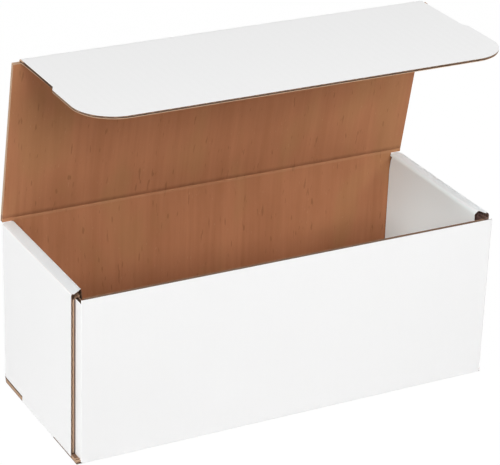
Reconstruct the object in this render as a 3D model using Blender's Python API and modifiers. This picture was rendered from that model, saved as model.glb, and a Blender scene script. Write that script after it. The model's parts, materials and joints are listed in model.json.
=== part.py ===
"""Corrugated mailer box, standing open.

One die-cut sheet of B-flute board, white outside and kraft inside, folded into a tray with
rolled-over end walls.  The back wall carries the lid, and the lid carries the tuck flap.
Metres, +Z up.  The origin is on the ground under the middle of the tray; the length runs
along X, and the front wall faces -Y.
"""
import math

import bmesh
import bpy
from mathutils import Matrix, Vector

# Driving dimensions
INNER_LENGTH = 0.305
INNER_WIDTH = 0.1275
INNER_HEIGHT = 0.1205
BOARD = 0.0030
LAYER_GAP = 0.0003
FOLD_RADIUS = 0.0019
FOLD_STEPS = 4
FRONT_WALL_DROP = 0.0020
END_WALL_SETBACK = 0.0070
CORNER_TAB_LENGTH = 0.050
CORNER_TAB_RADIUS = 0.008
SLIT_LENGTH = 0.032
EAR_INSET = 0.0004
TAB_LIFT = 0.0005
FOOT_WIDTH = 0.030
LID_SIDE_INSET = 0.0010
LID_LEAN = math.radians(10.8)
CREASE_OFFSET = 0.00015
FLAP_DEPTH = 0.1168
FLAP_ANGLE = math.radians(90.0 + 10.8)
FLAP_SIDE_INSET = 0.0064
FLAP_SHOULDER_DEPTH = 0.0535
FLAP_SHOULDER_LENGTH = 0.0050
FLAP_SHOULDER_STEP = 0.0026
FLAP_CORNER_RADIUS = 0.028
FLUTE_PITCH = 0.0060
LINER = 0.00035
FLUTE_BASE = 0.0047
FLUTE_DEPTH = 0.0025

# Sizes that follow from them
ROLLED_WALL = 3 * BOARD + 2 * LAYER_GAP
LENGTH = INNER_LENGTH + 2 * ROLLED_WALL
WIDTH = INNER_WIDTH + 2 * BOARD
SPINE_TOP = BOARD + INNER_HEIGHT
FRONT_TOP = SPINE_TOP - FRONT_WALL_DROP
HALF_BOARD = BOARD / 2
HINGE_Y = WIDTH / 2 - HALF_BOARD
HINGE_Z = SPINE_TOP + HALF_BOARD + LAYER_GAP
LID_LENGTH = HINGE_Y + WIDTH / 2 - 2 * BOARD - LAYER_GAP - CREASE_OFFSET

OUTER_WALL_X = LENGTH / 2 - HALF_BOARD
TAB_X = OUTER_WALL_X - BOARD - LAYER_GAP
INNER_WALL_X = TAB_X - BOARD - LAYER_GAP
WALL_Y = WIDTH / 2 - HALF_BOARD
FLOOR_X = OUTER_WALL_X - FOLD_RADIUS
FLOOR_Y = WALL_Y - FOLD_RADIUS
FRONT_X = TAB_X - FOLD_RADIUS
END_WALL_Y = WIDTH / 2 - END_WALL_SETBACK
SLIT_Y = END_WALL_Y - SLIT_LENGTH
TAB_TOP = SPINE_TOP - BOARD - 2 * LAYER_GAP
WALL_BASE = HALF_BOARD + FOLD_RADIUS
TOUCH = 1e-5


def clear_scene():
    for item in list(bpy.data.objects):
        bpy.data.objects.remove(item, do_unlink=True)


def collection(name):
    group = bpy.data.collections.new(name)
    bpy.context.scene.collection.children.link(group)
    return group


def paper(name, colour, roughness):
    material = bpy.data.materials.new(name)
    material.use_nodes = True
    shader = material.node_tree.nodes["Principled BSDF"]
    shader.inputs["Base Color"].default_value = (*colour, 1.0)
    shader.inputs["Roughness"].default_value = roughness
    shader.inputs["Metallic"].default_value = 0.0
    return material


def bend(start, end, radius):
    """Steps of a quarter turn from one direction to another, at the middle of the board."""
    a, b = Vector(start), Vector(end)
    points = []
    for step in range(FOLD_STEPS + 1):
        turn = math.radians(90.0) * step / FOLD_STEPS
        points.append(a * (radius * math.sin(turn)) + b * (radius * (1 - math.cos(turn))))
    return [after - before for before, after in zip(points, points[1:])]


def extend(mesh, edges, steps):
    """Extrude a row of edges through the steps; returns every edge row, the last one at the end."""
    rows = [edges]
    for step in steps:
        grown = bmesh.ops.extrude_edge_only(mesh, edges=rows[-1])["geom"]
        points = [item for item in grown if isinstance(item, bmesh.types.BMVert)]
        bmesh.ops.translate(mesh, verts=points, vec=step)
        ends = set(points)
        rows.append([item for item in grown if isinstance(item, bmesh.types.BMEdge)
                     and set(item.verts) <= ends])
    return rows


def edges_where(mesh, test):
    """Open edges whose two ends both pass the test."""
    return [edge for edge in mesh.edges if len(edge.link_faces) == 1
            and all(test(point.co) for point in edge.verts)]


def near(value, target):
    return abs(value - target) < TOUCH


def floor_panel(mesh):
    """The bottom, with the lines that its slits, slots and folds need, and a slot for the foot of each end wall."""
    bmesh.ops.create_grid(mesh, x_segments=1, y_segments=1, size=1.0)
    bmesh.ops.scale(mesh, vec=(FLOOR_X, FLOOR_Y, 1.0), verts=mesh.verts)
    bmesh.ops.translate(mesh, vec=(0, 0, HALF_BOARD), verts=mesh.verts)
    slot_inside = INNER_WALL_X - HALF_BOARD - LAYER_GAP
    slot_outside = INNER_WALL_X + HALF_BOARD + LAYER_GAP
    slot_end = FOOT_WIDTH / 2 + LAYER_GAP
    for side in (-1, 1):
        for x in (slot_inside, slot_outside, FRONT_X):
            cut_line(mesh, (side * x, 0, 0), (1, 0, 0))
        for y in (FOOT_WIDTH / 2, slot_end, SLIT_Y):
            cut_line(mesh, (0, side * y, 0), (0, 1, 0))
    slots = []
    for face in mesh.faces:
        middle = face.calc_center_median()
        if slot_inside < abs(middle.x) < slot_outside and abs(middle.y) < slot_end:
            slots.append(face)
    bmesh.ops.delete(mesh, geom=slots, context="FACES")


def cut_line(mesh, point, normal):
    everything = list(mesh.verts) + list(mesh.edges) + list(mesh.faces)
    bmesh.ops.bisect_plane(mesh, geom=everything, plane_co=point, plane_no=normal)


def end_wall(mesh, side):
    """Outer wall, flat top spine and inner wall, rolled over in one run, with a foot below."""
    out, inward = Vector((side, 0, 0)), Vector((-side, 0, 0))
    up, down = Vector((0, 0, 1)), Vector((0, 0, -1))
    hinge_line = edges_where(mesh, lambda p: near(p.x, side * FLOOR_X) and abs(p.y) < SLIT_Y + TOUCH)
    ears = edges_where(mesh, lambda p: near(p.x, side * FLOOR_X) and abs(p.y) > SLIT_Y - TOUCH)
    extend(mesh, ears, [out * (HALF_BOARD + FOLD_RADIUS - EAR_INSET)])
    outer_rise = SPINE_TOP - HALF_BOARD - FOLD_RADIUS - WALL_BASE
    spine = OUTER_WALL_X - INNER_WALL_X - 2 * FOLD_RADIUS
    inner_drop = SPINE_TOP - HALF_BOARD - FOLD_RADIUS - BOARD - LAYER_GAP
    steps = bend(out, up, FOLD_RADIUS) + [up * TAB_LIFT, up * (outer_rise - TAB_LIFT)]
    steps += bend(up, inward, FOLD_RADIUS)
    steps += [inward * spine] + bend(inward, down, FOLD_RADIUS) + [down * inner_drop]
    rows = extend(mesh, hinge_line, steps)
    foot_line = [edge for edge in rows[-1]
                 if all(abs(p.co.y) < FOOT_WIDTH / 2 + TOUCH for p in edge.verts)]
    for end in (-1, 1):
        flanks = edges_where(mesh, lambda p: near(p.y, end * SLIT_Y) and p.z > WALL_BASE + TAB_LIFT - TOUCH
                             and abs(p.x) > INNER_WALL_X - TOUCH and p.x * side > 0)
        extend(mesh, flanks, [Vector((0, end * (END_WALL_Y - SLIT_Y), 0))])
    extend(mesh, foot_line, [down * BOARD])


def long_wall(mesh, side, top):
    """The front or back wall, with a corner tab folded in at each end."""
    out, up = Vector((0, side, 0)), Vector((0, 0, 1))
    fold_line = edges_where(mesh, lambda p: near(p.y, side * FLOOR_Y) and near(p.z, HALF_BOARD))
    rows = extend(mesh, fold_line, bend(out, up, FOLD_RADIUS))
    wall_line = [edge for edge in rows[-1] if all(abs(p.co.x) < FRONT_X + TOUCH for p in edge.verts)]
    tab_base = WALL_BASE + TAB_LIFT
    extend(mesh, wall_line, [up * TAB_LIFT, up * (TAB_TOP - tab_base), up * (top - TAB_TOP)])
    for end in (-1, 1):
        along, back = Vector((end, 0, 0)), Vector((0, -side, 0))
        flank = edges_where(mesh, lambda p: near(p.x, end * FRONT_X) and near(p.y, side * WALL_Y)
                            and p.z > tab_base - TOUCH)
        rows = extend(mesh, flank, bend(along, back, FOLD_RADIUS))
        tab_line = [edge for edge in rows[-1] if all(p.co.z < TAB_TOP + TOUCH for p in edge.verts)]
        tip = extend(mesh, tab_line, [back * CORNER_TAB_LENGTH])[-1]
        corners = list({point for edge in tip for point in edge.verts})
        bmesh.ops.bevel(mesh, geom=corners, offset=CORNER_TAB_RADIUS, segments=3, profile=0.5,
                        affect="VERTICES")


def flute_ends(name, group):
    """A cutter mesh to which rows of flute ends are added."""
    mesh = bpy.data.meshes.new(name)
    cutter = bpy.data.objects.new(name, mesh)
    group.objects.link(cutter)
    cutter.hide_render = True
    cutter.display_type = "WIRE"
    return cutter


def add_flute_row(cutter, start, end, into, across):
    """Three-sided hollows between the liners, point up and point down in turn, along a raw edge."""
    shape = bmesh.new()
    shape.from_mesh(cutter.data)
    run = Vector(end) - Vector(start)
    along = run.normalized()
    into, across = Vector(into).normalized(), Vector(across).normalized()
    count = int(run.length / (FLUTE_PITCH / 2))
    margin = (run.length - (count - 1) * FLUTE_PITCH / 2) / 2
    height = BOARD - 2 * LINER
    radius = height / 1.5
    stretch = FLUTE_BASE / (radius * math.sqrt(3))
    for number in range(count):
        peak = across if number % 2 else -across
        middle = Vector(start) + along * (margin + number * FLUTE_PITCH / 2)
        middle -= peak * (radius - height / 2)
        turn = Matrix((peak.cross(into), peak, into)).transposed().to_4x4()
        place = Matrix.Translation(middle) @ turn @ Matrix.Diagonal((stretch, 1.0, 1.0, 1.0))
        bmesh.ops.create_cone(shape, cap_ends=True, segments=3, radius1=radius, radius2=radius,
                              depth=2 * FLUTE_DEPTH, matrix=place)
    bmesh.ops.recalc_face_normals(shape, faces=shape.faces)
    shape.to_mesh(cutter.data)
    shape.free()


def cut_with(item, cutter):
    boolean = item.modifiers.new("flute ends", "BOOLEAN")
    boolean.operation = "DIFFERENCE"
    boolean.solver = "EXACT"
    boolean.object = cutter


def build_tray(parts, cutters, materials):
    mesh = bmesh.new()
    floor_panel(mesh)
    for side in (-1, 1):
        end_wall(mesh, side)
    long_wall(mesh, -1, FRONT_TOP)
    long_wall(mesh, 1, SPINE_TOP)
    bmesh.ops.recalc_face_normals(mesh, faces=mesh.faces)
    data = bpy.data.meshes.new("tray")
    mesh.to_mesh(data)
    mesh.free()
    tray = bpy.data.objects.new("tray", data)
    parts.objects.link(tray)
    for material in materials:
        data.materials.append(material)
    board = tray.modifiers.new("board", "SOLIDIFY")
    board.thickness = BOARD
    board.offset = 0.0
    board.use_even_offset = True
    board.material_offset = 1
    board.material_offset_rim = 2
    cutter = flute_ends("tray_flutes", cutters)
    margin = 2 * BOARD
    add_flute_row(cutter, (-FRONT_X, -WALL_Y, FRONT_TOP), (FRONT_X, -WALL_Y, FRONT_TOP),
                  (0, 0, 1), (0, 1, 0))
    for side in (-1, 1):
        for end in (-1, 1):
            for x in (OUTER_WALL_X, INNER_WALL_X):
                add_flute_row(cutter, (side * x, end * END_WALL_Y, margin),
                              (side * x, end * END_WALL_Y, SPINE_TOP - margin), (0, end, 0), (1, 0, 0))
    cut_with(tray, cutter)
    return tray


def outline_object(name, points, thickness):
    """A flat outline, extruded both ways, as a mesh with its caps welded."""
    curve = bpy.data.curves.new(name, "CURVE")
    curve.dimensions = "2D"
    curve.fill_mode = "BOTH"
    curve.extrude = thickness / 2
    spline = curve.splines.new("POLY")
    spline.points.add(len(points) - 1)
    for place, (x, y) in zip(spline.points, points):
        place.co = (x, y, 0.0, 1.0)
    spline.use_cyclic_u = True
    flat = bpy.data.objects.new(name, curve)
    bpy.context.scene.collection.objects.link(flat)
    graph = bpy.context.evaluated_depsgraph_get()
    data = bpy.data.meshes.new_from_object(flat.evaluated_get(graph))
    bpy.data.objects.remove(flat, do_unlink=True)
    weld = bmesh.new()
    weld.from_mesh(data)
    bmesh.ops.remove_doubles(weld, verts=weld.verts, dist=TOUCH)
    bmesh.ops.recalc_face_normals(weld, faces=weld.faces)
    weld.to_mesh(data)
    weld.free()
    data.name = name
    return bpy.data.objects.new(name, data)


def arc(centre, radius, start, end, steps):
    """Points of a round stretch, in degrees, both ends included."""
    points = []
    for step in range(steps + 1):
        angle = math.radians(start + (end - start) * step / steps)
        points.append((centre[0] + radius * math.cos(angle), centre[1] + radius * math.sin(angle)))
    return points


def finish_panel(item, parts, materials, outside):
    """White on the outside, kraft on the inside and bare board at the edges."""
    parts.objects.link(item)
    for material in materials:
        item.data.materials.append(material)
    for face in item.data.polygons:
        lie = face.normal.dot(outside)
        face.material_index = 0 if lie > 0.9 else 1 if lie < -0.9 else 2


def build_lid(parts, materials):
    """A plain panel whose root is half round about the hinge line, so that it turns on the wall."""
    root = arc((0, 0), HALF_BOARD, -90, -270, 8)
    tip = LID_LENGTH - CREASE_OFFSET
    profile = root + [(tip, HALF_BOARD), (tip, -HALF_BOARD)]
    lid = outline_object("lid", profile, LENGTH - 2 * LID_SIDE_INSET)
    lid.data.transform(Matrix(((0, 0, 1), (0, 1, 0), (1, 0, 0))).to_4x4())
    lid.data.transform(Matrix.Scale(-1, 4, (1, 0, 0)))
    finish_panel(lid, parts, materials, Vector((0, 1, 0)))
    lid.location = (0, HINGE_Y, HINGE_Z)
    lid.rotation_euler = (LID_LEAN, 0, 0)
    return lid


def flap_outline():
    """Fold line, straight flanks, slanted shoulders and large round front corners."""
    neck = LENGTH / 2 - FLAP_SIDE_INSET
    wide = neck + FLAP_SHOULDER_STEP
    shoulder = FLAP_SHOULDER_DEPTH + FLAP_SHOULDER_LENGTH
    radius = FLAP_CORNER_RADIUS
    right = [(neck, CREASE_OFFSET), (neck, FLAP_SHOULDER_DEPTH), (wide, shoulder)]
    right += arc((wide - radius, FLAP_DEPTH - radius), radius, 0, 90, 10)
    return right + [(-x, y) for x, y in reversed(right)]


def build_flap(parts, cutters, materials, lid):
    """The tuck flap, folded forward from the lid's free edge."""
    flap = outline_object("tuck_flap", flap_outline(), BOARD)
    rise = CREASE_OFFSET + HALF_BOARD
    flap.data.transform(Matrix.Translation((0, 0, rise)))
    finish_panel(flap, parts, materials, Vector((0, 0, 1)))
    cutter = flute_ends("flap_flutes", cutters)
    straight = LENGTH / 2 - FLAP_SIDE_INSET + FLAP_SHOULDER_STEP - FLAP_CORNER_RADIUS
    add_flute_row(cutter, (-straight, FLAP_DEPTH, rise), (straight, FLAP_DEPTH, rise),
                  (0, 1, 0), (0, 0, 1))
    cut_with(flap, cutter)
    for item in (flap, cutter):
        item.parent = lid
        item.location = (0, -HALF_BOARD - CREASE_OFFSET, LID_LENGTH)
        item.rotation_euler = (FLAP_ANGLE - math.radians(90.0), 0, math.radians(180.0))
    return flap


def main():
    clear_scene()
    parts = collection("mailer_box")
    cutters = collection("cutters")
    white = paper("white liner", (0.90, 0.90, 0.90), 0.6)
    kraft = paper("kraft liner", (0.31, 0.15, 0.08), 0.8)
    raw = paper("raw board edge", (0.42, 0.27, 0.17), 0.9)
    build_tray(parts, cutters, (white, kraft, raw))
    lid = build_lid(parts, (white, kraft, raw))
    build_flap(parts, cutters, (white, kraft, raw), lid)


main()
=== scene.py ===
"""A corrugated mailer box standing open on a white ground: white outside, kraft inside."""
import json
import math

import bmesh
import bpy
from mathutils import Matrix, Vector


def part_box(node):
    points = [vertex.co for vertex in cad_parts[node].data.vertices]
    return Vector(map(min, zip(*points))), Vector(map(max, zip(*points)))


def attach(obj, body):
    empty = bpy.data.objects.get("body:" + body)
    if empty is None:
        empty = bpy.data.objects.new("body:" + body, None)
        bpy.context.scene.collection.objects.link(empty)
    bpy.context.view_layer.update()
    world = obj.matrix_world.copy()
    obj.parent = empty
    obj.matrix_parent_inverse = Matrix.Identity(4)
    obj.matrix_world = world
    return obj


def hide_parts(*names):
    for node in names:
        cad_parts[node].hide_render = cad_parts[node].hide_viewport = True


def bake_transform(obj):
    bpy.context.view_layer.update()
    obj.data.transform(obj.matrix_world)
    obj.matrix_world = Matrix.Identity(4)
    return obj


bl_info = {
    "name": "Corrugated mailer box",
    "version": (1, 0, 0),
    "blender": (4, 5, 0),
    "location": "View3D > Sidebar > Mailer box",
    "description": "Folds a mailer box from fluted board, with its lid and tuck flap open",
    "category": "Add Mesh",
}

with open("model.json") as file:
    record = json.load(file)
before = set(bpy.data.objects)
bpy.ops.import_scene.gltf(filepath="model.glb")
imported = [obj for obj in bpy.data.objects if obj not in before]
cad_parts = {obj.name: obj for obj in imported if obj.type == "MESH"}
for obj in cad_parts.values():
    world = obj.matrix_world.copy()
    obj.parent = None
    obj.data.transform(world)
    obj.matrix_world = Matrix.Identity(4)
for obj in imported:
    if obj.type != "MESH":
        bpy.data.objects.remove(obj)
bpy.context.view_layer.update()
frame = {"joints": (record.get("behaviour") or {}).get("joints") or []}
TRAY_LOW, TRAY_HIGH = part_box("tray")
HINGES = {joint["name"]: Vector(joint["pos_m"]) for joint in frame["joints"]}
TOUCH = 1e-5
AIM = Vector((0, 0, 0.1))
EDGE_GAP = 0.0002
FLOOR_DROP = 0.0002
FLARE_STEPS = (0.12, 0.28, 0.6)
PINCH_FOOT = 0.3
TAB_LIFT = 0.0005
SPINE_EDGE = 0.0016
CREASE_LOW, CREASE_HIGH = 0.0016, 0.0013
BEAD_ROWS = (0.0014, 0.0010, 0.0006)
CREASE_PRESS = 0.0008
FLAP_KRAFT = 0.00045
FLAP_KRAFT_FIT = (0.996, 0.994, 1)
DUST = (0.55, 0.50, 0.44)
OLIVE = (0.41, 0.225, 0.09)
SCRATCH = (0.20, 0.085, 0.035)
PALE_FIBRE = (0.62, 0.36, 0.20)
# Painted shade: the dark band on the kraft just above the lid's hinge crease.
CREASE_SHADE = (0.17, 0.065, 0.028)
# Painted highlight: the pale band on the kraft at and just below the lid's hinge crease.
CREASE_HIGHLIGHT = (0.62, 0.34, 0.18)
LIGHTS = {
    "key": ((-0.31, -1.74, 1.04), 0.6),
    "left": ((-4.675, -0.375, 1.8), 2.0),
    "right": ((1.0, -1.25, 1.15), 0.8),
    "above": ((0.0, 0.0, 2.1), 1.5),
}


def metres(name, description, default):
    return bpy.props.FloatProperty(name=name, description=description, default=default, unit="LENGTH")


def turning(name, description, default):
    return bpy.props.FloatProperty(name=name, description=description, default=default, subtype="ANGLE")


def plain(name, description, default):
    return bpy.props.FloatProperty(name=name, description=description, default=default)


def paint(name, description, default):
    return bpy.props.FloatVectorProperty(name=name, description=description, default=default,
                                         subtype="COLOR")


class MailerBoardSizes(bpy.types.PropertyGroup):
    """The board that the whole box is folded from."""
    thickness: metres("Thickness", "Across both liners", 0.0030)
    liner: metres("Liner", "Thickness of each flat paper layer", 0.00036)
    inner_liner: metres("Inner liner", "Kraft layer with the flutes pressed onto it by the cut", 0.0009)
    medium: metres("Medium", "Thickness of the wavy paper layer", 0.00032)
    pitch: metres("Flute pitch", "From one flute to the next", 0.0062)
    fold_radius: metres("Fold radius", "At the middle of the board", 0.0019)
    tight_radius: metres("Outer fold radius", "At the outer face, for the white liner", 0.0006)
    left_roll: metres("Left roll radius", "At the outer face, over the left end wall", 0.0009)
    right_roll: metres("Right roll radius", "At the outer face, over the right end wall", 0.0026)
    roll_radius: metres("Roll radius", "At the middle of the board, over both end walls", 0.0021)
    fold_steps: bpy.props.IntProperty(
        name="Fold steps", description="Facets in each quarter turn", default=8, min=2)
    layer_gap: metres("Layer gap", "Between folded layers", 0.0003)


class MailerTraySizes(bpy.types.PropertyGroup):
    """The bottom, the four walls and the rolled-over ends."""
    length: metres("Length", "Over the end walls", TRAY_HIGH.x - TRAY_LOW.x)
    width: metres("Width", "Over the front and back walls", 0.1335)
    height: metres("Height", "To the top of the rolled end walls", TRAY_HIGH.z)
    front_drop: metres("Front drop", "How far the front wall ends below that", 0.0007)
    setback: metres("Setback", "From the front face to the end walls' raw edges", 0.0093)
    rear_setback: metres("Rear setback", "From the back face to the end walls' raw edges", 0.0081)
    shift: metres("Shift", "How far the rolled-over inner walls lie to the rear", 0.0048)
    rear_lean: metres("Rear lean", "How far the end walls' rear edges run to the rear at the top", 0.0026)
    flare: metres("Flare", "How much wider the inner end walls get in front below the roll", 0.0064)
    corner: metres("Corner", "Rounding of the inner end walls' rear top corners", 0.0024)
    pressed: metres("Pressed edge", "How far the end walls' raw edges are pressed together", 0.0009)
    pressed_top: metres("Pressed top", "How far the front wall's top edge is pressed together", 0.0013)
    flare_drop: metres("Flare drop", "Height over which they get wider", 0.027)
    roll: metres("Roll", "Height of the roll's rounding", 0.0034)
    slit: metres("Slit", "Length of each slit at the foot of an end wall", 0.0297)
    slit_lift: metres("Slit lift", "From the front slits up to the end wall's edge", 0.0009)
    rear_lift: metres("Rear slit lift", "From the rear slits up to it", 0.0040)
    ear_inset: metres("Ear inset", "From the end wall's face in to the bottom's raw edge", 0.0004)
    ear_slant: metres("Ear slant", "How far that edge runs in towards the rear", 0.0024)
    ear_cut: metres("Ear cut", "How much less the front right raw corner sticks out", 0.0025)
    pinch: plain("Pinch", "How much narrower the right roll gets at its front end", 0.20)
    tab: metres("Corner tab", "Length of each corner tab", 0.050)
    foot: metres("Foot", "Width of the foot under each inner end wall", 0.030)


class MailerLidSizes(bpy.types.PropertyGroup):
    """The lid and the tuck flap."""
    lean: turning("Lean", "Of the lid, forward from upright", math.radians(10.8))
    side_inset: metres("Side inset", "Of the lid at each end", 0.0010)
    crease: metres("Crease", "Board on each side of a fold that bends with it", 0.0040)
    crease_notch: metres("Crease notch", "What the back wall lacks at each end under its fold", 0.0080)
    groove: metres("Groove", "Depth of the pressed line in the lid's crease", 0.0007)
    bead: metres("Bead", "How far the board bulges just below that line", 0.00010)
    flap_angle: turning("Flap angle", "Between the lid and the tuck flap", math.radians(100.8))
    flap_inset: metres("Flap inset", "Of the flap's neck at each end", 0.0064)
    flap_depth: metres("Flap depth", "From the fold to the free edge", 0.1168)
    shoulder: metres("Shoulder", "From the fold to the shoulders", 0.0535)
    shoulder_length: metres("Shoulder length", "Of the slanted step", 0.0050)
    shoulder_step: metres("Shoulder step", "How much wider the flap gets on each side", 0.0026)
    corner_radius: metres("Corner radius", "Of the flap's free corners", 0.028)
    crush: metres("Crush", "How far the flap's cut edges are pressed together", 0.0010)
    crushed: metres("Crushed rim", "Width of the pressed rim", 0.0030)
    crease_offset: metres("Crease offset", "From the flap's fold line to its inner face", 0.00015)


class MailerPaperColours(bpy.types.PropertyGroup):
    """The papers of the board."""
    white: paint("White liner", "Outside of the box", (0.858, 0.858, 0.858))
    # Painted light: the same white liner as outside, painted brighter and bluer to offset the brown light
    # that the kraft throws on the inner end walls.
    inner_white_painted_light: paint("Inner white liner", "Inner end walls, bluish painted_light_tint", (0.87, 0.985, 1.0))
    # Painted light: the same white liner, painted brighter and bluer on the rolls' flat tops to offset the
    # brown light from the kraft.
    spine_white_painted_light: paint("Spine white liner", "The rolled-over ends' flat tops", (0.90, 0.962, 0.985))
    kraft: paint("Kraft liner", "Inside of the box", (0.50, 0.215, 0.104))
    kraft_dark: paint("Kraft streaks", "Its darker fibres", (0.41, 0.170, 0.078))
    raw: paint("Cut edge", "Cut edges of the liners", (0.50, 0.33, 0.22))
    # Painted shade: the medium is darker than the kraft, for the shaded hollows between the flutes; the
    # same paper is laid as painted shade on some cut edges.
    flute: paint("Medium", "The wavy layer", (0.215, 0.13, 0.085))
    # Painted shade: a dark paper for the kraft, cut edges and medium inside the right roll's front end.
    shade: paint("Inside the right roll", "Its unlit, shaded papers", (0.125, 0.075, 0.064))


class MailerStudio(bpy.types.PropertyGroup):
    """The camera and the lights."""
    camera: bpy.props.FloatVectorProperty(
        name="Camera", description="Where it stands", default=(-0.68809, -1.25947, 0.78352), size=3,
        subtype="TRANSLATION")
    camera_turn: bpy.props.FloatVectorProperty(
        name="Camera turn", description="Its rotation", default=(1.13354, -0.03449, -0.48388), size=3,
        subtype="EULER")
    lens: plain("Lens", "Focal length in millimetres", 162.10)
    ambient: plain("Ambient", "Light from all around", 0.15)
    key: plain("Key", "Soft light from the front, in watts", 17.2)
    left: plain("Left", "Low soft light from the left, in watts", 150.0)
    right: plain("Right", "High soft light from the right, in watts", 9.6)
    above: plain("Above", "Wide light from above, in watts", 13.0)


class Tone:
    """A shader value: arithmetic on it adds Math nodes."""

    def __init__(self, tree, socket):
        self.tree = tree
        self.socket = socket

    def math(self, operation, *values):
        node = self.tree.nodes.new("ShaderNodeMath")
        node.operation = operation
        for place, value in zip(node.inputs, values):
            connect(self.tree, place, value)
        return Tone(self.tree, node.outputs[0])

    def __add__(self, other):
        return self.math("ADD", self, other)

    def __sub__(self, other):
        return self.math("SUBTRACT", self, other)

    def __mul__(self, other):
        return self.math("MULTIPLY", self, other)

    def __radd__(self, other):
        return self.math("ADD", other, self)

    def __rsub__(self, other):
        return self.math("SUBTRACT", other, self)

    def ramp(self, low, high):
        """0 below low and 1 above high, smoothly between."""
        node = self.tree.nodes.new("ShaderNodeMapRange")
        node.interpolation_type = "SMOOTHSTEP"
        for place, value in zip(node.inputs, (self, low, high, 0.0, 1.0)):
            connect(self.tree, place, value)
        return Tone(self.tree, node.outputs[0])

    def sine(self):
        return self.math("SINE", self)


def connect(tree, place, value):
    """Links a shader value to a socket, or writes a plain number or colour on it."""
    if isinstance(value, Tone):
        tree.links.new(value.socket, place)
    elif isinstance(value, bpy.types.NodeSocket):
        tree.links.new(value, place)
    elif isinstance(value, (tuple, list)) and len(value) == 3 and len(place.default_value) == 4:
        place.default_value = (*value, 1.0)
    else:
        place.default_value = value


class Paper:
    """A material under construction."""

    def __init__(self, name):
        self.material = bpy.data.materials.new(name)
        self.material.use_nodes = True
        self.tree = self.material.node_tree
        self.tree.nodes.clear()
        self.output = self.tree.nodes.new("ShaderNodeOutputMaterial")

    def node(self, kind, settings=None, inputs=None):
        node = self.tree.nodes.new("ShaderNode" + kind)
        for key, value in (settings or {}).items():
            setattr(node, key, value)
        for key, value in (inputs or {}).items():
            connect(self.tree, node.inputs[key], value)
        return node

    def value(self, kind, output, settings=None, inputs=None):
        return Tone(self.tree, self.node(kind, settings, inputs).outputs[output])

    def place(self):
        """The point on the piece, in metres."""
        return self.node("TexCoord").outputs["Object"]

    def noise(self, scale, detail, rough=0.55, stretch=(1.0, 1.0, 1.0)):
        mapped = self.node("Mapping", {}, {"Vector": self.place(), "Scale": stretch}).outputs[0]
        return self.value("TexNoise", "Fac", {"noise_dimensions": "3D"},
                          {"Vector": mapped, "Scale": scale, "Detail": detail, "Roughness": rough})

    def mix(self, amount, first, second):
        node = self.tree.nodes.new("ShaderNodeMix")
        node.data_type = "RGBA"
        connect(self.tree, node.inputs["Factor"], amount)
        connect(self.tree, node.inputs[6], first)
        connect(self.tree, node.inputs[7], second)
        return node.outputs[2]

    def bump(self, height, distance, strength):
        inputs = {"Strength": strength, "Distance": distance, "Height": height}
        return self.node("Bump", {}, inputs).outputs[0]

    def finish(self, **inputs):
        names = {key.replace("_", " ").title().replace("Ior", "IOR"): value
                 for key, value in inputs.items()}
        shader = self.node("BsdfPrincipled", {}, names)
        connect(self.tree, self.output.inputs["Surface"], shader.outputs[0])
        return self.material


def axis_values(paper):
    """X, Y and Z of the point on the piece."""
    parts = paper.node("SeparateXYZ", {}, {"Vector": paper.place()}).outputs
    return [Tone(paper.tree, part) for part in parts]


def white_liner(name, colour, pitch):
    """Clay-coated white: matt, faintly mottled, with the flutes just showing."""
    paper = Paper(name)
    cloud = paper.noise(9.0, 3.0)
    fibre = paper.noise(900.0, 3.0)
    shade = paper.mix((cloud - 0.5) * 0.5 + 0.5, tuple(c * 0.985 for c in colour), colour)
    dust = paper.noise(260.0, 2.0, 0.5).ramp(0.74, 0.82)
    shade = paper.mix(dust * 0.05, shade, DUST)
    ribs = (axis_values(paper)[0] * (2 * math.pi / pitch)).sine()
    height = ribs * 0.35 + fibre * 0.65
    return paper.finish(base_color=shade, roughness=0.62 + (cloud - 0.5) * 0.1, specular_ior_level=0.3,
                        normal=paper.bump(height, 0.00005, 0.5))


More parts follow.
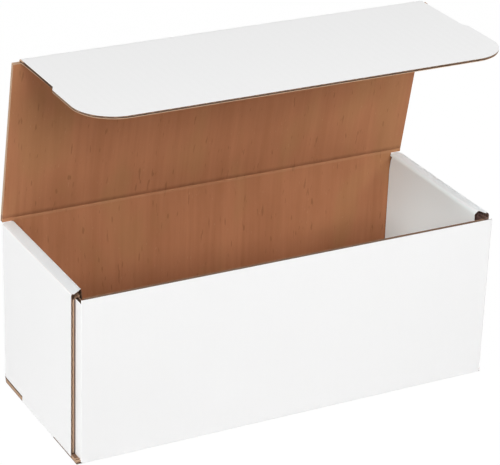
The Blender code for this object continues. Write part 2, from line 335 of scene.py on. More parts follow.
def kraft_liner(light, dark, pitch):
    """Brown kraft: cloudy patches, uneven streaks along the flutes, and short dark and pale fibres. A
    painted shade darkens a band just above the lid's hinge crease, and a painted highlight lightens a
    narrow band at and just below it.
    """
    paper = Paper("kraft liner")
    patch = paper.noise(1.0, 3.0, 0.55, (42.0, 20.0, 20.0))
    wide_streak = paper.noise(1.0, 2.0, 0.5, (140.0, 7.0, 7.0))
    streak = paper.noise(1.0, 3.0, 0.6, (430.0, 16.0, 16.0))
    x, _, z = axis_values(paper)
    ribs = (x * (2 * math.pi / pitch)).sine()
    shown = paper.noise(1.0, 1.0, 0.5, (12.0, 9.0, 9.0)).ramp(0.4, 0.65)
    tone = (patch - 0.5) * 1.0 + (wide_streak - 0.5) * 0.8 + (streak - 0.5) * 0.55 + 0.5
    tone = tone + ribs * shown * 0.10
    shade = paper.mix(tone.ramp(0.0, 1.0), dark, light)
    olive = paper.noise(1.0, 2.0, 0.5, (30.0, 14.0, 14.0)).ramp(0.48, 0.66)
    shade = paper.mix(olive * 0.30, shade, OLIVE)
    scratches = paper.noise(1.0, 1.5, 0.5, (510.0, 90.0, 90.0)).ramp(0.66, 0.75)
    fibres = paper.noise(1.0, 2.0, 0.5, (900.0, 240.0, 240.0)).ramp(0.68, 0.78)
    shade = paper.mix(scratches * 0.4, shade, SCRATCH)
    shade = paper.mix(fibres * 0.25, shade, PALE_FIBRE)
    hinge = HINGES["lid_hinge"].z
    # Noise that makes the painted shade and painted highlight at the hinge crease uneven.
    crease_light_noise = paper.noise(1.0, 2.0, 0.6, (260.0, 40.0, 40.0))
    # Painted shade: darkens the kraft in a band a few millimetres up the lid from the hinge crease.
    groove = (hinge + 0.0048 - z).ramp(0.0, 0.0034) * (z - hinge).ramp(0.0007, 0.0012)
    # Painted highlight: lightens the kraft in a narrow band at and just below the hinge crease, where the
    # board bulges.
    bulge_highlight = (z - hinge).ramp(-0.0022, -0.0004) * (hinge - z).ramp(-0.0012, -0.0007)
    shade = paper.mix(groove * (crease_light_noise * 0.4 + 0.14), shade, CREASE_SHADE)
    shade = paper.mix(bulge_highlight * (crease_light_noise * 0.3 + 0.15), shade, CREASE_HIGHLIGHT)
    fibre = paper.noise(1100.0, 3.0)
    height = ribs * 0.25 + fibre * 0.5 + (streak - 0.5)
    return paper.finish(base_color=shade, roughness=0.78 + (streak - 0.5) * 0.1, specular_ior_level=0.25,
                        normal=paper.bump(height, 0.00009, 0.5))


def cut_edge(colour):
    """Cut edges of the liners: pale, fibrous."""
    paper = Paper("cut edge")
    fray = paper.noise(1400.0, 3.0)
    shade = paper.mix(fray, tuple(c * 0.62 for c in colour), tuple(min(1.0, c * 1.25) for c in colour))
    return paper.finish(base_color=shade, roughness=0.9, specular_ior_level=0.2,
                        normal=paper.bump(fray, 0.0001, 0.5))


def flute_paper(name, colour):
    """The wavy layer and the unseen faces of the liners, kept dark as painted shade of the hollows between
    the flutes.
    """
    paper = Paper(name)
    fibre = paper.noise(600.0, 3.0)
    shade = paper.mix(fibre, tuple(c * 0.7 for c in colour), tuple(c * 1.3 for c in colour))
    return paper.finish(base_color=shade, roughness=0.9, specular_ior_level=0.2,
                        normal=paper.bump(fibre, 0.0001, 0.4))


PAPERS = {}


def papers(scene):
    """The papers, made once."""
    if not PAPERS:
        colours, pitch = scene.mailer_papers, scene.mailer_board.pitch
        PAPERS["white"] = white_liner("white liner", tuple(colours.white), pitch)
        PAPERS["inner"] = white_liner("inner white liner", tuple(colours.inner_white_painted_light), pitch)
        PAPERS["spine"] = white_liner("spine white liner", tuple(colours.spine_white_painted_light), pitch)
        PAPERS["kraft"] = kraft_liner(tuple(colours.kraft), tuple(colours.kraft_dark), pitch)
        PAPERS["cut"] = cut_edge(tuple(colours.raw))
        PAPERS["flute"] = flute_paper("flute paper", tuple(colours.flute))
        PAPERS["shade"] = flute_paper("shaded paper", tuple(colours.shade))
    return PAPERS


def select_only(*items):
    bpy.ops.object.select_all(action="DESELECT")
    for item in items:
        item.select_set(True)
    bpy.context.view_layer.objects.active = items[0]


def new_sheet(name, low, high, height):
    """A flat sheet between two corners, left in edit mode."""
    bpy.ops.object.select_all(action="DESELECT")
    middle = ((low[0] + high[0]) / 2, (low[1] + high[1]) / 2, height)
    bpy.ops.mesh.primitive_plane_add(size=1, location=middle)
    sheet = bpy.context.object
    sheet.name = name
    sheet.scale = (high[0] - low[0], high[1] - low[1], 1)
    bpy.ops.object.transform_apply(location=True, rotation=True, scale=True)
    bpy.ops.object.mode_set(mode="EDIT")
    bpy.ops.mesh.select_mode(type="EDGE")
    return sheet


def score(point, normal):
    """A straight line across the sheet, as an edge."""
    bpy.ops.mesh.select_all(action="SELECT")
    bpy.ops.mesh.bisect(plane_co=point, plane_no=normal)


def pick_edges(sheet, test):
    """Selects the open edges whose two ends pass the test."""
    bpy.ops.mesh.select_all(action="DESELECT")
    shape = bmesh.from_edit_mesh(sheet.data)
    for edge in shape.edges:
        if edge.is_boundary and all(test(corner.co) for corner in edge.verts):
            edge.select_set(True)
    bmesh.update_edit_mesh(sheet.data)


def pick_corners(sheet, test):
    bpy.ops.mesh.select_mode(type="VERT")
    bpy.ops.mesh.select_all(action="DESELECT")
    shape = bmesh.from_edit_mesh(sheet.data)
    for corner in shape.verts:
        corner.select_set(test(corner.co))
    shape.select_flush_mode()
    bmesh.update_edit_mesh(sheet.data)


def cut_faces(sheet, test):
    """Cuts away the faces whose middle passes the test."""
    bpy.ops.mesh.select_mode(type="FACE")
    bpy.ops.mesh.select_all(action="DESELECT")
    shape = bmesh.from_edit_mesh(sheet.data)
    for face in shape.faces:
        face.select_set(test(face.calc_center_median()))
    bmesh.update_edit_mesh(sheet.data)
    bpy.ops.mesh.delete(type="FACE")
    bpy.ops.mesh.select_mode(type="EDGE")


def press(sheet, test, place):
    """Moves the corners that pass the test to their new places."""
    shape = bmesh.from_edit_mesh(sheet.data)
    for corner in shape.verts:
        if test(corner.co):
            corner.co = place(corner.co)
    bmesh.update_edit_mesh(sheet.data)


def extend(steps):
    """Extrudes the picked edges through the steps."""
    for step in steps:
        bpy.ops.mesh.extrude_region_move(TRANSFORM_OT_translate={"value": tuple(step)})


def near(value, target):
    return abs(value - target) < TOUCH


def bend(start, end, radius, steps, degrees=90.0):
    """Steps of a turn from one direction to another at right angles to it."""
    a, b = Vector(start), Vector(end)
    points = []
    for number in range(steps + 1):
        turn = math.radians(degrees) * number / steps
        points.append(a * (radius * math.sin(turn)) + b * (radius * (1 - math.cos(turn))))
    return [after - before for before, after in zip(points, points[1:])]


def face_out(sheet, point, outside):
    """Turns the sheet's faces the same way, so that the one nearest the point looks outside."""
    bpy.ops.mesh.select_all(action="SELECT")
    bpy.ops.mesh.normals_make_consistent(inside=False)
    shape = bmesh.from_edit_mesh(sheet.data)
    face = min(shape.faces, key=lambda f: (f.calc_center_median() - Vector(point)).length)
    if face.normal.dot(Vector(outside)) < 0:
        bpy.ops.mesh.flip_normals()
    bpy.ops.object.mode_set(mode="OBJECT")


def ply(sheet, name, low, high, skins):
    """One layer of the board as a copy of the folded sheet, between two distances from its middle."""
    select_only(sheet)
    bpy.ops.object.duplicate()
    layer = bpy.context.object
    layer.name = name
    for skin in skins:
        layer.data.materials.append(skin)
    body = layer.modifiers.new("layer", "SOLIDIFY")
    body.thickness = high - low
    body.offset = (high + low) / (high - low)
    body.use_even_offset = True
    body.material_offset = 1
    body.material_offset_rim = 2
    bpy.ops.object.modifier_apply(modifier=body.name)
    return layer


def white_ply(scene, sheet, rim="flute", level=0.0):
    """The white liner outside. level is how far out the sheet lies from the middle of the board. Its cut
    rim takes the rim paper, by default the dark medium's paper as painted shade of the flute hollows next
    to it.
    """
    board, skin = scene.mailer_board, papers(scene)
    half = board.thickness / 2 - level
    return ply(sheet, sheet.name + "_white", half - board.liner, half,
               (skin["white"], skin["flute"], skin[rim]))


def kraft_ply(scene, sheet, thickness):
    """The kraft liner inside."""
    half, skin = scene.mailer_board.thickness / 2, papers(scene)
    return ply(sheet, sheet.name + "_kraft", -half, thickness - half,
               (skin["flute"], skin["kraft"], skin["cut"]))


def liners(scene, sheet):
    """Both liners of a flat panel, and the wavy layer as its cut sides show it."""
    board, skin = scene.mailer_board, papers(scene)
    half = board.thickness / 2
    core = ply(sheet, sheet.name + "_core", board.inner_liner - half, half - board.liner,
               (skin["flute"], skin["flute"], skin["cut"]))
    return [white_ply(scene, sheet, "cut"), kraft_ply(scene, sheet, board.inner_liner), core]


def repaint(piece, old, new, test):
    """Gives another paper to the faces that pass the test."""
    names = [paper.name for paper in piece.data.materials]
    for face in piece.data.polygons:
        if names[face.material_index] == old and test(face.center):
            face.material_index = names.index(new)


def flutes(scene, name, start, along, across, into, run, reach, crush=(0.0, 0.0)):
    """The wavy layer of one panel, across it towards the white liner. reach(distance along) gives
    where it starts and ends, and crush how far these edges are pressed towards the white liner."""
    board, skin = scene.mailer_board, papers(scene)
    count = max(8, round(run / board.pitch * 8))
    bpy.ops.object.select_all(action="DESELECT")
    bpy.ops.mesh.primitive_grid_add(x_subdivisions=count, y_subdivisions=3, size=1)
    wave = bpy.context.object
    wave.name = name
    room = board.thickness - board.liner - board.inner_liner
    top = board.thickness / 2 - board.liner - board.medium / 2
    presses = (crush[0], 0.0, 0.0, crush[1])
    start, along, across, into = Vector(start), Vector(along), Vector(across), Vector(into)
    for point in wave.data.vertices:
        row = round((point.co.y + 0.5) * 3)
        distance = (point.co.x + 0.5) * run
        low, high = reach(distance)
        rim = min(scene.mailer_lid.crushed, (high - low) / 3)
        height = (room - board.medium - presses[row]) / 2
        swing = top - height + height * math.cos(2 * math.pi * distance / board.pitch)
        depth = (low, low + rim, high - rim, high)[row]
        point.co = start + along * distance + across * swing + into * depth
    body = wave.modifiers.new("paper", "SOLIDIFY")
    body.thickness = board.medium
    body.offset = 0.0
    body.material_offset_rim = 1
    wave.data.materials.append(skin["flute"])
    wave.data.materials.append(skin["cut"])
    bpy.ops.object.modifier_apply(modifier=body.name)
    return wave


def join(name, pieces):
    """One piece from several."""
    select_only(*pieces)
    bpy.ops.object.join()
    piece = bpy.context.object
    piece.name = name
    piece.data.name = name
    bpy.ops.object.shade_smooth_by_angle(angle=math.radians(40.0))
    return piece


def discard(item):
    bpy.data.objects.remove(item, do_unlink=True)


def flare_share(tray, level):
    """How much of the flare an inner end wall has at a height: none at the roll, all of it below."""
    share = min(1.0, max(0.0, (tray.height - tray.roll - level) / tray.flare_drop))
    return 1.0 - (1.0 - share) ** 2


def end_edge(tray, end):
    """Where the outer end walls' raw edges lie, in front and at the rear."""
    return end * (tray.width / 2 - (tray.setback if end < 0 else tray.rear_setback))


def inner_edge(tray, end, level):
    """Where the inner end walls' raw edges lie at a height."""
    share = flare_share(tray, level)
    widening = tray.flare * share if end < 0 else -tray.corner * (1.0 - share) ** 4
    return end_edge(tray, end) + tray.shift + end * widening


def folded_tray(scene, level, radius, rolls, pressed, pressed_top):
    """The tray's board as one folded sheet, level out from the middle of the board."""
    board, tray = scene.mailer_board, scene.mailer_tray
    half, steps = board.thickness / 2, board.fold_steps
    gap = board.layer_gap
    outer_x = tray.length / 2 - half + level
    tab_x = outer_x - board.thickness - gap
    inner_x = tray.length / 2 - half - 2 * (board.thickness + gap) - level
    wall_y = tray.width / 2 - half + level
    floor_x, floor_y, front_x = outer_x - radius, wall_y - radius, tab_x - radius
    slit_y = tray.width / 2 - tray.setback - tray.slit
    bottom, spine = half - level, tray.height - half + level
    base = bottom + radius
    tab_top = tray.height - board.thickness - 2 * gap
    foot, slot_end = tray.foot / 2, tray.foot / 2 + gap
    slot_low, slot_high = inner_x + level - half - gap, inner_x + level + half + gap
    sheet = new_sheet("tray", (-floor_x, -floor_y), (floor_x, floor_y), bottom)
    for side in (-1, 1):
        for x in (slot_low, slot_high, front_x):
            score((side * x, 0, 0), (1, 0, 0))
        for y in (foot, slot_end, slit_y, side * end_edge(tray, side)):
            score((0, side * y, 0), (0, 1, 0))
    cut_faces(sheet, lambda p: slot_low < abs(p.x) < slot_high and abs(p.y) < slot_end)
    up, down = Vector((0, 0, 1)), Vector((0, 0, -1))
    foot_top = board.thickness + gap
    drops = [tray.flare_drop * share for share in FLARE_STEPS]
    for side in (-1, 1):
        out, inward = Vector((side, 0, 0)), Vector((-side, 0, 0))
        pick_edges(sheet, lambda p: near(p.x, side * floor_x) and abs(p.y) > slit_y - TOUCH)
        extend([out * (half + radius - level - tray.ear_inset)])
        pick_edges(sheet, lambda p: near(p.x, side * floor_x) and abs(p.y) < slit_y + TOUCH)
        roll = rolls[side > 0]
        extend(bend(out, up, radius, steps) + [up * tray.slit_lift, up * (tray.rear_lift - tray.slit_lift)])
        extend([up * (spine - roll - base - tray.rear_lift)] + bend(up, inward, roll, steps))
        extend([inward * SPINE_EDGE, inward * (outer_x - inner_x - 2 * roll - SPINE_EDGE)])
        extend(bend(inward, down, roll, steps))
        extend([down * drop for drop in drops])
        extend([down * (spine - roll - foot_top - sum(drops))])
        for end, lift in ((-1, tray.slit_lift), (1, tray.rear_lift)):
            pick_edges(sheet, lambda p: near(p.y, end * slit_y) and p.x * side > inner_x - TOUCH
                       and (p.z > base + lift - TOUCH or near(p.x, side * inner_x)))
            edge = end_edge(tray, end)
            extend([Vector((0, edge - end * slit_y, 0))])
            turn_x = outer_x - roll - SPINE_EDGE + (TOUCH if end > 0 else -TOUCH)
            pick_corners(sheet, lambda p: near(p.y, edge) and inner_x + TOUCH < p.x * side < turn_x
                         and p.z > spine - roll + TOUCH)
            bpy.ops.transform.translate(value=(0, tray.shift, 0))
            for level_z in [spine - roll - sum(drops[:number]) for number in range(4)] + [foot_top]:
                pick_corners(sheet, lambda p: near(p.x, side * inner_x) and near(p.z, level_z)
                             and near(p.y, edge))
                bpy.ops.transform.translate(value=(0, inner_edge(tray, end, level_z) - edge, 0))
            pick_corners(sheet, lambda p: near(p.x, side * outer_x) and near(p.y, edge)
                         and p.z > base + lift - TOUCH)
            bpy.ops.transform.translate(value=(side * pressed, 0, 0))
            if end > 0:
                pick_corners(sheet, lambda p: near(p.y, edge) and p.x * side > turn_x
                             and p.z > spine - roll - TOUCH)
                bpy.ops.transform.translate(value=(0, tray.rear_lean, 0))
        if side > 0:
            def pinched(p):
                share = PINCH_FOOT + (1 - PINCH_FOOT) * (p.z - spine + roll) / roll
                return Vector((outer_x - (outer_x - p.x) * (1 - tray.pinch * share), p.y, p.z))

            press(sheet, lambda p: inner_x - TOUCH < p.x < outer_x + TOUCH and p.z > spine - roll - TOUCH
                  and p.y < end_edge(tray, -1) + tray.shift + TOUCH, pinched)
        bpy.ops.mesh.select_mode(type="EDGE")
        pick_edges(sheet, lambda p: near(p.x, side * inner_x) and near(p.z, foot_top)
                   and abs(p.y) < foot + TOUCH)
        extend([down * board.thickness])
    for side, top in ((-1, tray.height - tray.front_drop),
                      (1, HINGES["lid_hinge"].z - scene.mailer_lid.crease)):
        out, back = Vector((0, side, 0)), Vector((0, -side, 0))
        pick_edges(sheet, lambda p: near(p.y, side * floor_y) and near(p.z, bottom))
        extend(bend(out, up, radius, steps))
        pick_edges(sheet, lambda p: near(p.y, side * wall_y) and abs(p.x) < front_x + TOUCH)
        tab_low = base + TAB_LIFT
        extend([up * TAB_LIFT, up * (tab_top - tab_low), up * (top - tab_top)])
        for end in (-1, 1):
            along = Vector((end, 0, 0))
            pick_edges(sheet, lambda p: near(p.x, end * front_x) and near(p.y, side * wall_y)
                       and p.z > tab_low - TOUCH)
            extend(bend(along, back, radius, steps))
            pick_edges(sheet, lambda p: near(p.x, end * tab_x) and near(p.y, side * floor_y)
                       and p.z < tab_top + TOUCH)
            extend([back * tray.tab])
    pick_corners(sheet, lambda p: p.y < -floor_y and near(p.z, tray.height - tray.front_drop))
    bpy.ops.transform.translate(value=(0, -pressed_top, 0))
    for side in (-1, 1):
        pick_corners(sheet, lambda p: p.x * side > floor_x - TOUCH and p.y > floor_y - TOUCH
                     and p.z < base + TOUCH)
        bpy.ops.transform.translate(value=(-side * tray.ear_slant, 0, 0))
    press(sheet, lambda p: p.x > floor_x - TOUCH and p.y < -slit_y - TOUCH and p.z < base + TOUCH,
          lambda p: p - Vector((tray.ear_cut, 0, 0)))
    face_out(sheet, (0, 0, bottom), (0, 0, -1))
    return sheet


def tray_flutes(scene):
    """The wavy layers of the four walls and the inner end walls."""
    board, tray = scene.mailer_board, scene.mailer_tray
    half, radius, gap = board.thickness / 2, board.fold_radius, board.layer_gap
    outer_x = tray.length / 2 - half
    inner_x = outer_x - 2 * (board.thickness + gap)
    wall_y = tray.width / 2 - half
    front_x = outer_x - board.thickness - gap - radius
    base = half + radius
    roll = tray.height - half - radius
    foot_top = board.thickness + gap
    waves = []
    for side, top, pressed in ((-1, tray.height - tray.front_drop, tray.pressed_top),
                               (1, HINGES["lid_hinge"].z - scene.mailer_lid.crease, 0.0)):
        waves.append(flutes(scene, "long_wall_flutes", (-front_x, side * wall_y, 0), (1, 0, 0),
                            (0, side, 0), (0, 0, 1), 2 * front_x,
                            lambda d: (base, top - EDGE_GAP), (0.0, pressed)))

    def outer_reach(distance):
        lean = tray.rear_lean * distance / (roll - base - tray.rear_lift)
        return end_edge(tray, -1) + EDGE_GAP, end_edge(tray, 1) + lean - EDGE_GAP

    def inner_reach(distance):
        height = foot_top + distance
        return inner_edge(tray, -1, height) + EDGE_GAP, inner_edge(tray, 1, height) - EDGE_GAP

    for side in (-1, 1):
        waves.append(flutes(scene, "end_wall_flutes", (side * outer_x, 0, base + tray.rear_lift), (0, 0, 1),
                            (side, 0, 0), (0, 1, 0), roll - base - tray.rear_lift, outer_reach,
                            (tray.pressed, tray.pressed)))
        waves.append(flutes(scene, "end_wall_flutes", (side * inner_x, 0, foot_top), (0, 0, 1),
                            (-side, 0, 0), (0, 1, 0), roll - foot_top, inner_reach))
    return waves


def ears(scene):
    """The pressed flutes at the four raw corners of the bottom, where it folds up into the walls."""
    board, tray, skin = scene.mailer_board, scene.mailer_tray, papers(scene)
    half, radius = board.thickness / 2, (board.fold_radius + board.tight_radius) / 2
    floor_y = tray.width / 2 - half - radius
    low_x = tray.length / 2 - 2 * board.thickness
    high_x = tray.length / 2 - tray.ear_inset - 0.0001
    slit_y = tray.width / 2 - tray.setback - tray.slit
    layers = []
    for side in (-1, 1):
        for end in (-1, 1):
            xs, ys = sorted((side * low_x, side * high_x)), sorted((end * slit_y, end * floor_y))
            sheet = new_sheet("ear", (xs[0], ys[0]), (xs[1], ys[1]), half)
            score((0, end_edge(tray, end), 0), (0, 1, 0))
            if end > 0:
                press(sheet, lambda p: near(p.y, floor_y) and near(p.x, side * high_x),
                      lambda p: p - Vector((side * tray.ear_slant, 0, 0)))
            elif side > 0:
                press(sheet, lambda p: p.y < -slit_y - TOUCH and near(p.x, high_x),
                      lambda p: p - Vector((tray.ear_cut, 0, 0)))
            pick_edges(sheet, lambda p: near(p.y, end * floor_y))
            extend(bend((0, end, 0), (0, 0, 1), radius, board.fold_steps))
            face_out(sheet, (0, 0, half), (0, 0, -1))
            layers.append(ply(sheet, "ear_core", board.inner_liner - half, half - board.liner,
                              (skin["cut"], skin["cut"], skin["cut"])))
            discard(sheet)
    return layers


def lid_frame(scene):
    """The lid's own frame at its hinge: Y outwards through the board, Z up the lid."""
    return Matrix.Translation(HINGES["lid_hinge"]) @ Matrix.Rotation(scene.mailer_lid.lean, 4, "X")


def flap_frame(scene):
    """The flap's own frame at its fold line: Y towards the free edge, Z out of the top face."""
    flip = Matrix.Rotation(math.pi, 4, "Z")
    lean = Matrix.Rotation(scene.mailer_lid.lean, 4, "X")
    rise = Matrix.Rotation(scene.mailer_lid.flap_angle - math.pi / 2, 4, "X")
    return Matrix.Translation(HINGES["tuck_flap_hinge"]) @ lean @ flip @ rise


def settle(piece, place):
    """Puts a piece in its place and leaves its object at the origin."""
    piece.matrix_world = place
    select_only(piece)
    bpy.ops.object.transform_apply(location=True, rotation=True, scale=True)
    return piece


def lid_length(scene):
    """From the lid's hinge to the flap's fold line, along the lid."""
    run = HINGES["tuck_flap_hinge"] - HINGES["lid_hinge"]
    return run.dot(lid_frame(scene).to_3x3() @ Vector((0, 0, 1)))


class MAILER_OT_tray(bpy.types.Operator):
    """Fold the bottom, the walls and the rolled-over ends"""
    bl_idname = "mailer.tray"
    bl_label = "Tray"

    def execute(self, context):
        scene = context.scene
        sizes = scene.mailer_board
        tray, half = scene.mailer_tray, sizes.thickness / 2
        outer_rolls = (sizes.left_roll, sizes.right_roll)
        tight = folded_tray(scene, half, sizes.tight_radius, outer_rolls, 0.0, 0.0)
        wide = folded_tray(scene, 0.0, sizes.fold_radius, (sizes.roll_radius,) * 2, tray.pressed,
                           tray.pressed_top)
        # Painted shade: the white liner's cut rim gets the dark medium's paper.
        layers = [white_ply(scene, tight, "flute", half), kraft_ply(scene, wide, sizes.inner_liner)]
        board = join("tray_board", layers + tray_flutes(scene) + ears(scene))
        edge_x = tray.length / 2 - 2 * sizes.thickness
        inner_x, front_y = tray.length / 2 - 3 * sizes.thickness, -end_edge(tray, -1)
        side_y, spine_left = tray.width / 2 - 0.002, 0.0009 - tray.length / 2
        inner_low, inner_high, floor_top = inner_x - 0.002, inner_x + 0.001, 0.003
        spine_low, raw_low = tray.height - 0.0025, tray.height - 0.0045
        ear_top, slit_top, mouth_x = 0.006, 0.0035, inner_x - 0.0005
        for paper in ("inner", "spine", "shade"):
            board.data.materials.append(papers(scene)[paper])
        # Painted light: the inner end walls' white faces get the brighter, bluer copy of the white liner.
        repaint(board, "white liner", "inner white liner", lambda p: abs(p.y) < side_y
                and p.z > floor_top and inner_low < abs(p.x) < inner_high)
        # Painted light: the rolls' flat tops get their brighter, bluer copy of the white liner.
        repaint(board, "white liner", "spine white liner", lambda p: abs(p.y) < side_y
                and p.z > spine_low and abs(p.x) > inner_x and p.x > spine_left)
        # Painted shade: the cut edges along the top of the tray get the dark medium's paper.
        repaint(board, "cut edge", "flute paper", lambda p: p.z > raw_low)
        # Painted shade: the papers inside the right roll's front end are swapped for the dark shaded paper.
        for paper, low in (("kraft liner", 0.05), ("cut edge", 0.1), ("flute paper", 0.1)):
            repaint(board, paper, "shaded paper", lambda p: p.x > mouth_x and p.z > low and p.y < 0.001)
        # Painted shade: the bottom's kraft at the four raw corners gets the dark medium's paper, for the
        # shadow there.
        repaint(board, "kraft liner", "flute paper", lambda p: abs(p.x) > edge_x and p.z < ear_top)
        # Painted shade: the cut edges low in the front slits get the dark medium's paper.
        repaint(board, "cut edge", "flute paper", lambda p: abs(p.x) > edge_x and p.z < slit_top
                and -front_y < p.y < 0)
        discard(tight)
        discard(wide)
        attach(board, "tray")
        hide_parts("tray")
        return {"FINISHED"}


class MAILER_OT_lid(bpy.types.Operator):
    """Make the lid panel"""
    bl_idname = "mailer.lid"
    bl_label = "Lid"

    def execute(self, context):
        scene = context.scene
        lid = scene.mailer_lid
        half_length = scene.mailer_tray.length / 2 - lid.side_inset
        low, high = lid.crease, lid_length(scene) - lid.crease
        neck = scene.mailer_tray.length / 2 - lid.flap_inset
        sheet = new_sheet("lid", (-half_length, low), (half_length, high), 0.0)
        for side in (-1, 1):
            score((side * neck, 0, 0), (1, 0, 0))
            pick_edges(sheet, lambda p: near(p.y, high) and p.x * side > neck - TOUCH)
            extend([Vector((0, lid.crease, 0))])
        face_out(sheet, (0, 0, 0), (0, 0, 1))
        panel = join("lid_board", liners(scene, sheet))
        discard(sheet)
        upright = Matrix(((-1, 0, 0, 0), (0, 0, 1, 0), (0, 1, 0, 0), (0, 0, 0, 1)))
        settle(panel, lid_frame(scene) @ upright)
        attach(panel, "lid")
        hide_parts("lid")
        return {"FINISHED"}


class MAILER_OT_tuck_flap(bpy.types.Operator):
    """Cut the tuck flap with its shoulders and round corners"""
    bl_idname = "mailer.tuck_flap"
    bl_label = "Tuck flap"

    def execute(self, context):
        scene = context.scene
        board, lid = scene.mailer_board, scene.mailer_lid
        neck = scene.mailer_tray.length / 2 - lid.flap_inset
        wide = neck + lid.shoulder_step
        ledge = lid.shoulder + lid.shoulder_length
        sheet = new_sheet("tuck_flap", (-neck, lid.crease), (neck, lid.shoulder), 0.0)
        pick_edges(sheet, lambda p: near(p.y, lid.shoulder))
        extend([Vector((0, lid.shoulder_length, 0))])
        bpy.ops.transform.resize(value=(wide / neck, 1, 1))
        extend([Vector((0, lid.flap_depth - ledge, 0))])
        pick_corners(sheet, lambda p: near(p.y, lid.flap_depth))
        bpy.ops.mesh.bevel(offset=lid.corner_radius, segments=16, profile=0.5, affect="VERTICES")
        face_out(sheet, (0, 0.02, 0), (0, 0, 1))
        flat = wide - lid.corner_radius
        centre = lid.flap_depth - lid.corner_radius

        def reach(distance):
            x = abs(distance - wide)
            low = ledge if x > neck else lid.crease
            if x <= flat:
                return low, lid.flap_depth - EDGE_GAP
            fall = math.sqrt(max(0.0, lid.corner_radius ** 2 - (x - flat) ** 2))
            return low, max(low, centre + fall - EDGE_GAP)

        wave = flutes(scene, "flap_flutes", (-wide, 0, 0), (1, 0, 0), (0, 0, 1), (0, 1, 0), 2 * wide, reach,
                      (0.0, lid.crush))
        # Painted shade: the wave's cut edge gets the dark medium's paper over part of each wave, as dark
        # dashes standing for the hollows between the flutes.
        repaint(wave, "cut edge", "flute paper",
                lambda p: math.cos(2 * math.pi * (p.x + wide) / board.pitch) < 0.35)
        # Painted shade: the white liner's cut rim gets the dark medium's paper.
        outer = white_ply(scene, sheet)
        select_only(sheet)
        bpy.ops.object.mode_set(mode="EDIT")
        bpy.ops.mesh.select_all(action="SELECT")
        bpy.ops.mesh.inset(thickness=lid.crushed, use_even_offset=True)
        shape = bmesh.from_edit_mesh(sheet.data)
        for corner in shape.verts:
            corner.select_set(corner.is_boundary and corner.co.y > lid.crease + TOUCH)
        bmesh.update_edit_mesh(sheet.data)
        bpy.ops.transform.translate(value=(0, 0, lid.crush))
        bpy.ops.mesh.select_all(action="SELECT")
        bpy.ops.transform.resize(value=FLAP_KRAFT_FIT, center_override=(0, lid.crease, 0))
        bpy.ops.object.mode_set(mode="OBJECT")
        flap = join("flap_board", [outer, kraft_ply(scene, sheet, FLAP_KRAFT), wave])
        discard(sheet)
        rise = lid.crease_offset + board.thickness / 2
        settle(flap, flap_frame(scene) @ Matrix.Translation((0, 0, rise)))
        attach(flap, "tuck_flap")
        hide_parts("tuck_flap")
        return {"FINISHED"}


def strip(name, half_length, start, steps, outside, notch):
    """A thin sheet along X through the steps, with its ends cut off under the notch's height."""
    first = Vector(start) + steps[0]
    bpy.ops.object.select_all(action="DESELECT")
    bpy.ops.mesh.primitive_plane_add(size=1)
    sheet = bpy.context.object
    sheet.name = name
    bpy.ops.object.mode_set(mode="EDIT")
    bpy.ops.mesh.select_mode(type="VERT")
    for place, test in ((start, -1), (first, 1)):
        pick_corners(sheet, lambda p: near(p.y, test * 0.5) and near(p.z, 0))
        bpy.ops.transform.resize(value=(2 * half_length, 1, 1))
        bpy.ops.transform.translate(value=(0, place[1] - test * 0.5, place[2]))
    bpy.ops.mesh.select_mode(type="EDGE")
    pick_edges(sheet, lambda p: near(p.y, first.y) and near(p.z, first.z))
    extend(steps[1:])
    level, depth = notch
    for side in (-1, 1):
        score((side * (half_length - depth), 0, 0), (1, 0, 0))
    cut_faces(sheet, lambda p: abs(p.x) > half_length - depth and p.z < level)
    face_out(sheet, start, outside)
    return sheet


def crease_board(scene, name, half_length, start, outer_steps, inner_steps, outside, notch=(0.0, 0.01)):
    """A strip of board that bends over a fold: its two liners and the pressed flutes."""
    board, skin = scene.mailer_board, papers(scene)
    half, liner = board.thickness / 2, board.liner
    outer = strip(name, half_length, start, outer_steps, outside, notch)
    inner = strip(name, half_length, start, inner_steps, outside, notch)
    core = ply(outer, name + "_core", board.inner_liner - half + CREASE_PRESS, half - liner,
               (skin["flute"], skin["flute"], skin["cut"]))
    crease = join(name, [white_ply(scene, outer, "cut"), kraft_ply(scene, inner, board.inner_liner), core])
    discard(outer)
    discard(inner)
    return crease


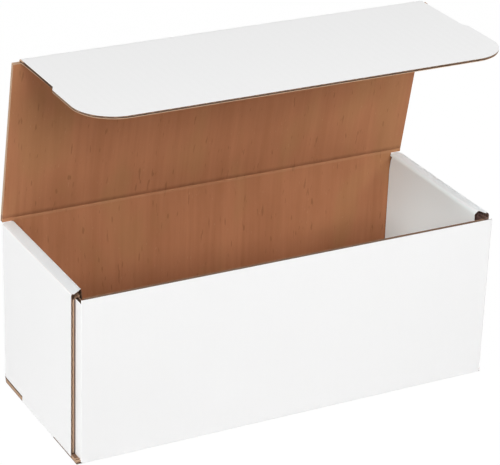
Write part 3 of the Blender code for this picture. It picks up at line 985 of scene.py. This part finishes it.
class MAILER_OT_creases(bpy.types.Operator):
    """Make the creases of the lid and of the tuck flap"""
    bl_idname = "mailer.creases"
    bl_label = "Creases"

    def execute(self, context):
        scene = context.scene
        board, lid = scene.mailer_board, scene.mailer_lid
        half = board.thickness / 2
        half_length = scene.mailer_tray.length / 2 - lid.side_inset
        pivot = HINGES["lid_hinge"]
        lean = lid_frame(scene).to_3x3()
        up = Vector((0, 0, 1))
        top = pivot + lean @ up * lid.crease
        start = Vector((0, pivot.y, pivot.z - lid.crease))
        outer = [up * (lid.crease - CREASE_LOW), up * CREASE_LOW, lean @ up * lid.crease]
        notch, bead = Vector((0, lid.groove, 0)), Vector((0, lid.bead, 0))
        flat, swell, dip = BEAD_ROWS
        inner = [up * (lid.crease - flat - swell - dip), up * flat, up * swell - bead,
                 up * dip + bead + notch, lean @ up * CREASE_HIGH - notch,
                 lean @ up * (lid.crease - CREASE_HIGH)]
        crease = crease_board(scene, "lid_crease", half_length, start, outer, inner, (0, 1, 0),
                              (pivot.z - CREASE_LOW, lid.crease_notch))
        start + up * 0.001
        top - lean @ up * 0.001
        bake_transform(crease)
        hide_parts("lid")
        fold = HINGES["tuck_flap_hinge"]
        radius = lid.crease_offset + half
        outward, along = lean @ Vector((0, 1, 0)), lean @ up
        turn = math.degrees(math.pi - lid.flap_angle)
        start = fold + outward * radius - along * lid.crease
        flap_way = flap_frame(scene).to_3x3() @ Vector((0, 1, 0))
        steps = [along * lid.crease]
        steps += bend(along, -outward, radius, board.fold_steps, turn)
        steps.append(flap_way * lid.crease)
        narrow = scene.mailer_tray.length / 2 - lid.flap_inset
        crease = crease_board(scene, "flap_crease", narrow, start, steps, steps, outward)
        end = start + sum(steps, Vector())
        start + along * 0.002
        end - flap_way * 0.002
        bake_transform(crease)
        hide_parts("tuck_flap")
        return {"FINISHED"}


def looking(tree):
    """1 for the rays that see the background: from the camera, or through gloss or glass."""
    path = tree.nodes.new("ShaderNodeLightPath").outputs
    rays = [Tone(tree, path[name]) for name in ("Is Camera Ray", "Is Glossy Ray", "Is Transmission Ray")]
    return rays[0] + rays[1] + rays[2]


def softbox(scene, name, energy, place, size):
    """A square soft light that faces the box."""
    light = bpy.data.objects.new(name, bpy.data.lights.new(name, "AREA"))
    light.data.energy = energy
    light.data.size = size
    light.location = place
    aim = AIM - light.location
    light.rotation_euler = aim.to_track_quat("-Z", "Y").to_euler()
    scene.collection.objects.link(light)


class MAILER_OT_stage(bpy.types.Operator):
    """Set the floor, the lights and the camera"""
    bl_idname = "mailer.stage"
    bl_label = "Stage"

    def execute(self, context):
        scene = context.scene
        studio = scene.mailer_studio
        bpy.ops.object.select_all(action="DESELECT")
        bpy.ops.mesh.primitive_plane_add(size=12, location=(0, 0, -FLOOR_DROP))
        floor = context.object
        floor.name = "floor"
        paper = Paper("floor")
        seen = looking(paper.tree)
        matt = paper.node("BsdfDiffuse", {}, {"Color": (0.7, 0.7, 0.7)}).outputs[0]
        glow = paper.node("Emission", {}, {"Color": (1.0, 1.0, 1.0), "Strength": 1.02}).outputs[0]
        mixed = paper.node("MixShader", {}, {0: seen * 0.96, 1: matt, 2: glow}).outputs[0]
        connect(paper.tree, paper.output.inputs["Surface"], mixed)
        floor.data.materials.append(paper.material)
        world = bpy.data.worlds.new("studio")
        scene.world = world
        world.use_nodes = True
        tree = world.node_tree
        tree.nodes.clear()
        output = tree.nodes.new("ShaderNodeOutputWorld")
        around = tree.nodes.new("ShaderNodeBackground")
        behind = tree.nodes.new("ShaderNodeBackground")
        around.inputs["Color"].default_value = (1.0, 1.0, 1.0, 1.0)
        around.inputs["Strength"].default_value = studio.ambient
        behind.inputs["Color"].default_value = (1.0, 1.0, 1.0, 1.0)
        behind.inputs["Strength"].default_value = 1.0
        switch = tree.nodes.new("ShaderNodeMixShader")
        connect(tree, switch.inputs[0], looking(tree))
        tree.links.new(around.outputs[0], switch.inputs[1])
        tree.links.new(behind.outputs[0], switch.inputs[2])
        tree.links.new(switch.outputs[0], output.inputs["Surface"])
        for name, (place, size) in LIGHTS.items():
            softbox(scene, name, getattr(studio, name), place, size)
        camera = bpy.data.objects.new("camera", bpy.data.cameras.new("camera"))
        camera.data.sensor_width = 36.0
        camera.data.lens = studio.lens
        camera.data.clip_start = 0.05
        camera.data.clip_end = 50.0
        camera.location = studio.camera
        camera.rotation_euler = studio.camera_turn
        scene.collection.objects.link(camera)
        scene.camera = camera
        scene.view_settings.view_transform = "Standard"
        return {"FINISHED"}


STEPS = ("tray", "lid", "tuck_flap", "creases", "stage")


class MAILER_PT_panel(bpy.types.Panel):
    """Lists the pieces of the box."""
    bl_label = "Mailer box"
    bl_idname = "MAILER_PT_panel"
    bl_space_type = "VIEW_3D"
    bl_region_type = "UI"
    bl_category = "Mailer box"

    def draw(self, context):
        for step in STEPS:
            self.layout.operator("mailer." + step)


SIZES = {
    "mailer_board": MailerBoardSizes,
    "mailer_tray": MailerTraySizes,
    "mailer_lid": MailerLidSizes,
    "mailer_papers": MailerPaperColours,
    "mailer_studio": MailerStudio,
}
CLASSES = (*SIZES.values(), MAILER_OT_tray, MAILER_OT_lid, MAILER_OT_tuck_flap, MAILER_OT_creases,
           MAILER_OT_stage, MAILER_PT_panel)


def register():
    for item in CLASSES:
        bpy.utils.register_class(item)
    for name, group in SIZES.items():
        setattr(bpy.types.Scene, name, bpy.props.PointerProperty(type=group))


def unregister():
    for name in SIZES:
        delattr(bpy.types.Scene, name)
    for item in reversed(CLASSES):
        bpy.utils.unregister_class(item)


def main():
    register()
    for step in STEPS:
        getattr(bpy.ops.mailer, step)()


if __name__ == "__main__":
    main()
